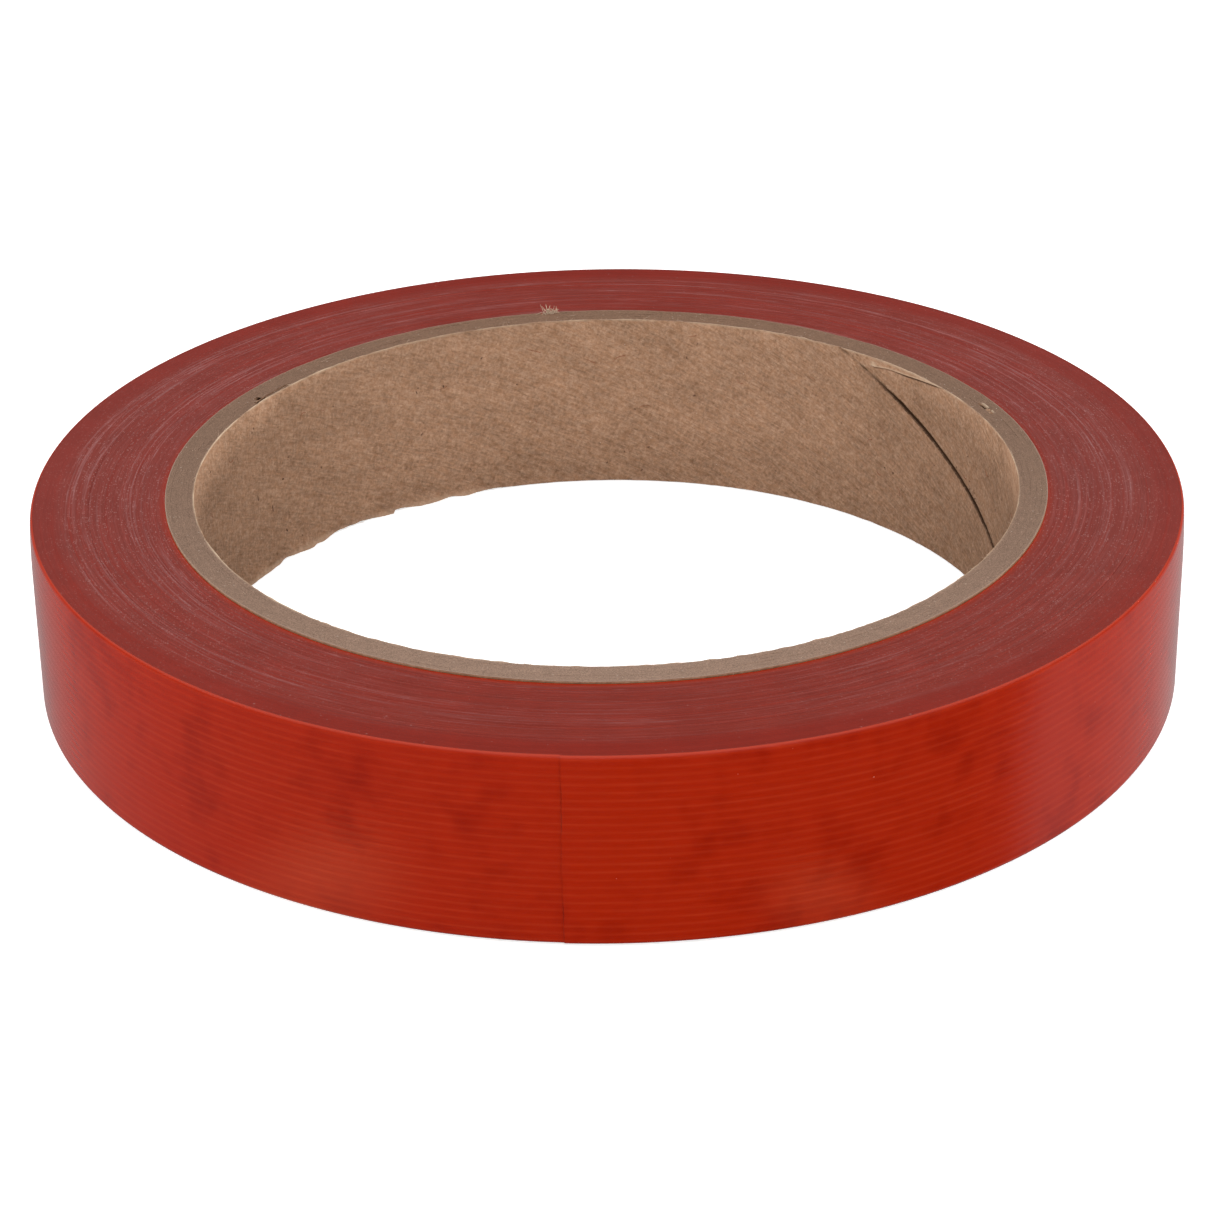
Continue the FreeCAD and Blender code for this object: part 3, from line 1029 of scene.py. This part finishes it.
# ---------------------------------------------------------------- wound tape
def build_wound(name, top):
    """Upper or lower half of the wound turns, with grooves between their slit edges."""
    columns = 360
    turns = TURNS - 2
    deg = FREE_EDGE + np.arange(columns + 1)[:, None] * 360.0 / columns
    r_in = CORE_R + TAPE_T
    r_out = turn_radius(deg, TAPE_T)

    # two rows to a turn keep the mesh light: film crest and adhesive groove
    share = np.array([0.0] + [(n + part) / turns for n in range(turns) for part in (0.42, 0.93)])
    share[-1] = 1.0
    rows = len(share)
    seed = 300 if top else 400
    height = (0.010 * grid_noise(rows, columns, 0.6, 22.0, seed)
              + 0.011 * grid_noise(rows, columns, 2.5, 30.0, seed + 1))
    height += 0.016 * grid_noise(rows, columns, 10.0, 60.0, seed + 2)
    groove = np.zeros(rows)
    groove[2::2] = -0.014
    unevenness = 1.0 - 0.65 * ease(share, 0.72, 0.86)     # the outer turns are more even
    height = closed(height) * unevenness[:, None]
    height += (groove * (0.6 + 0.4 * unevenness))[:, None]
    height[-1] = -0.012
    height = np.clip(height, -0.08, 0.06)

    z_face = TAPE_TOP if top else TAPE_BOTTOM
    sign = 1.0 if top else -1.0
    z_mid = (TAPE_BOTTOM + TAPE_TOP) / 2
    drops = np.array([0.02, 0.05, 0.10, 0.20, SHOULDER_H, 1.2, 2.4, 3.6, CONE_H])
    z_side = z_face - sign * drops
    face_r = r_in + share * (r_out - edge_inset(z_face) - r_in)
    side_r = r_out - edge_inset(z_side)
    radius = np.hstack([face_r, side_r, r_out, np.full_like(r_out, r_in)])
    z_rest = np.tile(np.append(z_side, [z_mid, z_mid]), (columns + 1, 1))
    z = np.hstack([z_face + sign * height.T, z_rest])
    obj = loft(name, polar_points(radius, deg, z), EDGE, flip=not top, sharp_deg=60)
    join_roll(obj, "wound_tape_body")


build_wound("wound_turns_upper", True)
build_wound("wound_turns_lower", False)


# ---------------------------------------------------------------- last turn and free end
# stations down the film's inner side
INNER_Z = np.concatenate([
    TAPE_TOP - np.array([0.02, 0.06, 0.12, 0.22, SHOULDER_H, 1.2, 2.4, 3.6, CONE_H]),
    np.linspace(TAPE_TOP - 7, TAPE_BOTTOM + 3, 4),
    TAPE_BOTTOM + np.array([SHOULDER_H, 0.22, 0.12, 0.06, 0.02]),
])


def inset_profile(points):
    """Section points (depth below the outer face, z), drawn in at the roll's rims."""
    profile = np.array(points)
    profile[:, 0] += edge_inset(profile[:, 1])
    return profile


def film_profile():
    """Ribbed outer side, rounded slit edges, flat inner side."""
    per_rib, rib_depth, margin = 6, 0.009, 0.035
    count = int(round((TAPE_TOP - TAPE_BOTTOM) / RIB_PITCH * per_rib))
    outer_z = np.linspace(TAPE_BOTTOM + margin, TAPE_TOP - margin, count)
    wave = 0.5 - 0.5 * np.cos((outer_z - TAPE_BOTTOM - RIB_START) * 2 * math.pi / RIB_PITCH)
    outer = [(rib_depth * v, z) for v, z in zip(wave, outer_z)]
    # depth, distance in from the slit edge
    rounding = [(0.022, 0.008), (0.045, 0.0), (FILM_T - 0.004, 0.004)]
    top = [(depth, TAPE_TOP - inset) for depth, inset in rounding]
    inner = [(FILM_T, z) for z in INNER_Z]
    bottom = [(depth, TAPE_BOTTOM + inset) for depth, inset in rounding[::-1]]
    return inset_profile(outer + top + inner + bottom)


def adhesive_profile():
    return inset_profile([(FILM_T, z) for z in INNER_Z[::-1]]
                         + [(TAPE_T - 0.008, z) for z in INNER_Z])


def lift_free(deg, z):
    """The free edge stands up slightly, with one small bubble beside it."""
    tip = bell(deg - FREE_EDGE, 0.35) * (0.003 + 0.002 * np.sin(z * 1.9 + 0.6))
    return tip + 0.055 * bell(deg - FREE_EDGE - 0.75, 0.55) * bell(z - 7.6, 0.55)


def tape_strip(name, start, end, step, profile, material, free=False):
    """A length of tape layer between two angles of the last turn."""
    count = max(2, int(round((end - start) / step)) + 1)
    deg = np.linspace(start, end, count)[:, None]
    depth, z = profile.T
    if free:
        # the cut across the tape is not quite straight
        near = np.maximum(0.0, 1.0 - (deg - FREE_EDGE) / 1.5)
        deg = deg + near * (0.05 * np.sin(z * 0.55 + 0.4) + 0.018 * np.sin(z * 2.3))
        depth = depth - lift_free(deg, z)
    radius = turn_radius(deg, 0.0) - depth
    return loft(name, polar_points(radius, deg, z), material, sharp_deg=48)


# layer, section, material, slot, name of the last turn's object
LAYERS = (
    ("film", film_profile(), FILM, "tape_film", "last_turn_ribbed_film"),
    ("adhesive", adhesive_profile(), ADHESIVE, "adhesive", "last_turn_adhesive_coat"),
)

for layer, profile, material, slot, name in LAYERS:
    obj = tape_strip(name, PEEL_LINE, FREE_EDGE + 360.0, 1.0, profile, material)
    join_roll(obj, "last_turn_" + layer)


def outer_point(deg):
    """A point of the roll's outer face, in metres."""
    radius = float(turn_radius(deg, 0.0))
    angle = math.radians(deg)
    return (radius * math.cos(angle) / 1000, radius * math.sin(angle) / 1000, 0.009)


for k in range(SEGMENTS):
    high = PEEL_LINE - k * SEGMENT_DEG
    low = high - SEGMENT_DEG
    for layer, profile, material, slot, _ in LAYERS:
        piece = tape_strip("free_end_%s_length_%d" % (layer, k + 1), low, high, 0.25,
                           profile, material, free=k == SEGMENTS - 1)
        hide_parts("free_end_%s_%d" % (layer, k + 1))
        outer_point(high)
        outer_point(low)
        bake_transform(piece)

# CAD nodes that keep their shape
for node, material in (("first_turn_film", FILM_CAD), ("first_turn_adhesive", ADHESIVE_CAD)):
    obj = frame["nodes"][node]
    if not obj.material_slots:
        obj.data.materials.append(material)
    for slot in obj.material_slots:
        slot.link = "OBJECT"
        slot.material = material


# ---------------------------------------------------------------- floor (metres from here on)
def floor_material():
    """White floor, brighter to the camera than to the light that bounces off it."""
    mat = Surface("studio_floor")
    tone = mat.noise(mat.object_position(), scale=3.0, rough=0.5).spread(0.995, 1.0)
    seen = mat.add("LightPath", output="Is Camera Ray")
    mat.material.cycles.emission_sampling = "NONE"
    return mat.principled({
        "Base Color": mat.scale((0.93, 0.93, 0.93), tone * seen.times_plus(0.28, 0.72)),
        "Roughness": 0.9,
        "Specular IOR Level": 0.1,
        "Emission Color": (1, 1, 1, 1),
        "Emission Strength": seen.times_plus(0.60, 0.0),
    })


def flat_object(name, points, material):
    mesh = bpy.data.meshes.new(name)
    mesh.from_pydata(points, [], [tuple(range(len(points)))])
    mesh.materials.append(material)
    obj = bpy.data.objects.new(name, mesh)
    scene.collection.objects.link(obj)
    return obj


HALF_FLOOR, FLOOR_Z = 3.0, -0.00012
corners = [(x * HALF_FLOOR, y * HALF_FLOOR, FLOOR_Z) for x, y in ((-1, -1), (1, -1), (1, 1), (-1, 1))]
floor = flat_object("studio_floor", corners, floor_material())
floor.visible_glossy = False


def glint_card(name, x, y, radius, strength):
    """A soft patch on the floor that only shiny surfaces mirror."""
    mat = Surface(name)
    card_x, card_y, _ = mat.split(mat.object_position())
    fade = mat.length(card_x, card_y).step(radius, 0.0, 0.0, strength)
    glow = mat.add("Emission", {"Color": (1.0, 0.42, 0.20), "Strength": fade})
    clear = mat.add("BsdfTransparent")
    material = mat.finish(mat.add("AddShader", {0: glow, 1: clear}))
    material.cycles.emission_sampling = "NONE"
    angles = [2 * math.pi * k / 24 for k in range(24)]
    ring = [(radius * math.cos(angle), radius * math.sin(angle), 0) for angle in angles]
    card = flat_object(name, ring, material)
    card.location = (x, y, -0.0001)
    for ray in ("camera", "diffuse", "shadow", "transmission", "volume_scatter"):
        setattr(card, "visible_" + ray, False)


glint_card("glint_left", x=-0.029, y=-0.0515, radius=0.013, strength=0.95)
glint_card("glint_right", x=0.0205, y=-0.0545, radius=0.009, strength=0.80)

# ---------------------------------------------------------------- world
# What shiny film mirrors below the horizon: azimuth (-90 front, 0 right, 90 back), brightness.
# Dark in front, a hard-edged pale field from the right round to the back, fading on the left.
MIRRORED = [
    (-90, 0.012), (-45, 0.012), (-14, 0.03), (-6, 0.08), (4, 0.44), (9, 0.44), (18, 0.36),
    (39, 0.40), (60, 0.50), (85, 0.49), (104, 0.50), (120, 0.56), (137, 0.46), (160, 0.33),
    (178, 0.18), (193, 0.05), (215, 0.015), (270, 0.012),
]
BACKDROP = 1.05                                  # brightness the camera sees


def build_world():
    world = bpy.data.worlds.new("studio")
    scene.world = world
    world.use_nodes = True
    world.cycles.sampling_method = "NONE"
    graph = Graph(world.node_tree)
    x, y, z = graph.split(graph.add("TexCoord", output="Generated"))

    azimuth = graph.math("ARCTAN2", y, x) * (180 / math.pi)
    azimuth = azimuth + graph.math("LESS_THAN", azimuth, -90.0) * 360.0
    below = graph.add("ValToRGB", {0: (azimuth + 90.0) / 360.0})
    elements = below.node.color_ramp.elements
    for i, (stop, value) in enumerate(MIRRORED):
        element = elements[i] if i < 2 else elements.new(0.5)
        element.position = (stop + 90) / 360
        element.color = (value, value, value, 1)

    above = z.step(0.1, 0.95, 0.14, 0.9)
    is_up = z.step(-0.03, 0.03)
    mirror = above * is_up + below * (1.0 - is_up)
    camera_ray = graph.add("LightPath", output="Is Camera Ray")
    glossy_ray = camera_ray.other("Is Glossy Ray")
    dome = z.step(-0.2, 0.9, 0.34, 0.50)
    strength = glossy_ray * mirror + (1.0 - glossy_ray) * dome
    strength = camera_ray * BACKDROP + (1.0 - camera_ray) * strength
    graph.add("OutputWorld", {0: graph.add("Background", {"Strength": strength})})


build_world()

# ---------------------------------------------------------------- lights
# name, place, height of the aim point on the axis, width, height, watts
SOFTBOXES = (
    ("softbox_top", (0.0, 0.05, 0.75), 0, 0.7, 0.7, 1.5),
    ("softbox_front", (0.10, -0.85, 0.42), 0.01, 1.1, 0.5, 6.0),
    ("softbox_low_right", (0.82, 0.475, 0.05), 0.01, 0.35, 0.08, 8.5),
    ("softbox_low_left", (-0.82, 0.475, 0.05), 0.01, 0.35, 0.08, 6.5),
    ("softbox_left", (-0.85, -0.25, 0.45), 0.01, 0.7, 0.5, 4.1),
    ("softbox_right", (0.85, -0.25, 0.45), 0.01, 0.7, 0.5, 3.0),
)
for name, place, aim_z, width, height, power in SOFTBOXES:
    lamp = bpy.data.lights.new(name, "AREA")
    lamp.shape = "RECTANGLE"
    lamp.size, lamp.size_y = width, height
    lamp.energy = power
    softbox = bpy.data.objects.new(name, lamp)
    scene.collection.objects.link(softbox)
    softbox.location = place
    toward = Vector((0, 0, aim_z)) - Vector(place)
    softbox.rotation_euler = toward.to_track_quat("-Z", "Y").to_euler()
    softbox.visible_glossy = False

# ---------------------------------------------------------------- camera
CAMERA_DISTANCE = 0.3453                         # from the axis at the tape's bottom
CAMERA_ELEVATION = math.radians(27.364)
CAMERA_ROLL = -0.0140                            # radians
AIM_LEFT, AIM_UP = 0.000398527, 0.01066678       # tangents of the aim's offset
SENSOR_MM, LENS_MM = 36.0, 107.89325


def build_camera():
    data = bpy.data.cameras.new("camera")
    camera = bpy.data.objects.new("camera", data)
    scene.collection.objects.link(camera)
    scene.camera = camera
    back = Vector((0, -math.cos(CAMERA_ELEVATION), math.sin(CAMERA_ELEVATION)))
    level_right = Vector((1, 0, 0))
    level_up = level_right.cross(-back)
    cosine, sine = math.cos(CAMERA_ROLL), math.sin(CAMERA_ROLL)
    right = cosine * level_right + sine * level_up
    up = -sine * level_right + cosine * level_up
    aim = (-back - AIM_LEFT * right + AIM_UP * up).normalized()
    side = aim.cross(up).normalized()
    top = side.cross(aim).normalized()
    camera.location = back * CAMERA_DISTANCE + Vector((0, 0, TAPE_BOTTOM / 1000))
    camera.rotation_mode = "QUATERNION"
    camera.rotation_quaternion = Matrix((side, top, -aim)).transposed().to_quaternion()
    data.sensor_width = SENSOR_MM
    data.lens = LENS_MM
    data.clip_start, data.clip_end = 0.01, 20.0


build_camera()

scene.view_settings.view_transform = "Standard"
scene.view_settings.look = "None"
scene.view_settings.exposure = 0.0
scene.view_settings.gamma = 1.0
